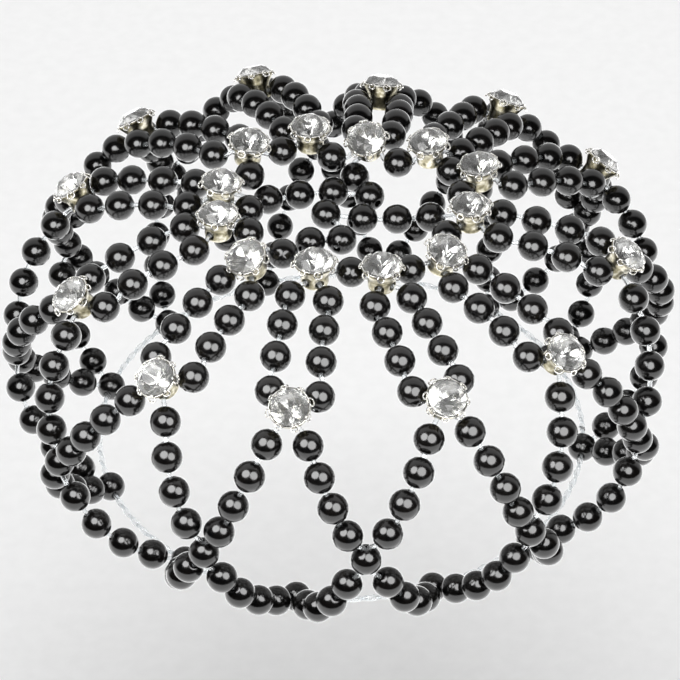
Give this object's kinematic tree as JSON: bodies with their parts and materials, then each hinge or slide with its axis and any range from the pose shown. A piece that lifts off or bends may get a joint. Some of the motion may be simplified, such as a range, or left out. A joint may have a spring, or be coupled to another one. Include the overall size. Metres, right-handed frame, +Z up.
{
  "type": "beaded elastic bun net with crystals",
  "caption": "A wide-meshed dome of dark round beads on clear elastic cord, with round crystals in claw cups, drawn over a hair bun",
  "frame": {"origin": "centre of the open mouth, in the plane under the hem beads", "axes": "+Z up through the closed top, -Y to the front of the picture, +X to its right"},
  "size_m": [0.0885, 0.0887, 0.0439],
  "materials": {
    "beads": "glossy near-black bead",
    "settings": "bright silver-coloured metal",
    "crystals": "clear cut crystal",
    "elastic_cord": "clear elastic cord"
  },
  "bodies": {
    "root": {"inner_setting_01": "settings", "inner_setting_02": "settings", "inner_setting_03": "settings", "inner_setting_04": "settings", "inner_setting_05": "settings", "inner_setting_06": "settings", "inner_setting_07": "settings", "inner_setting_08": "settings", "inner_setting_09": "settings", "inner_setting_10": "settings", "inner_setting_11": "settings", "inner_setting_12": "settings", "outer_setting_01": "settings", "outer_setting_02": "settings", "outer_setting_03": "settings", "outer_setting_04": "settings", "outer_setting_05": "settings", "outer_setting_06": "settings", "outer_setting_07": "settings", "outer_setting_08": "settings", "outer_setting_09": "settings", "outer_setting_10": "settings", "outer_setting_11": "settings", "outer_setting_12": "settings", "inner_crystal_01": "crystals", "inner_crystal_02": "crystals", "inner_crystal_03": "crystals", "inner_crystal_04": "crystals", "inner_crystal_05": "crystals", "inner_crystal_06": "crystals", "inner_crystal_07": "crystals", "inner_crystal_08": "crystals", "inner_crystal_09": "crystals", "inner_crystal_10": "crystals", "inner_crystal_11": "crystals", "inner_crystal_12": "crystals", "outer_crystal_01": "crystals", "outer_crystal_02": "crystals", "outer_crystal_03": "crystals", "outer_crystal_04": "crystals", "outer_crystal_05": "crystals", "outer_crystal_06": "crystals", "outer_crystal_07": "crystals", "outer_crystal_08": "crystals", "outer_crystal_09": "crystals", "outer_crystal_10": "crystals", "outer_crystal_11": "crystals", "outer_crystal_12": "crystals", "ring_strand": "beads", "closure_strands": "beads", "hem_elastic": "elastic_cord", "front_petals": "beads", "right_petals": "beads", "back_petals": "beads", "left_petals": "beads", "front_skirt": "beads", "right_skirt": "beads", "back_skirt": "beads", "left_skirt": "beads"}
  },
  "joints": []
}
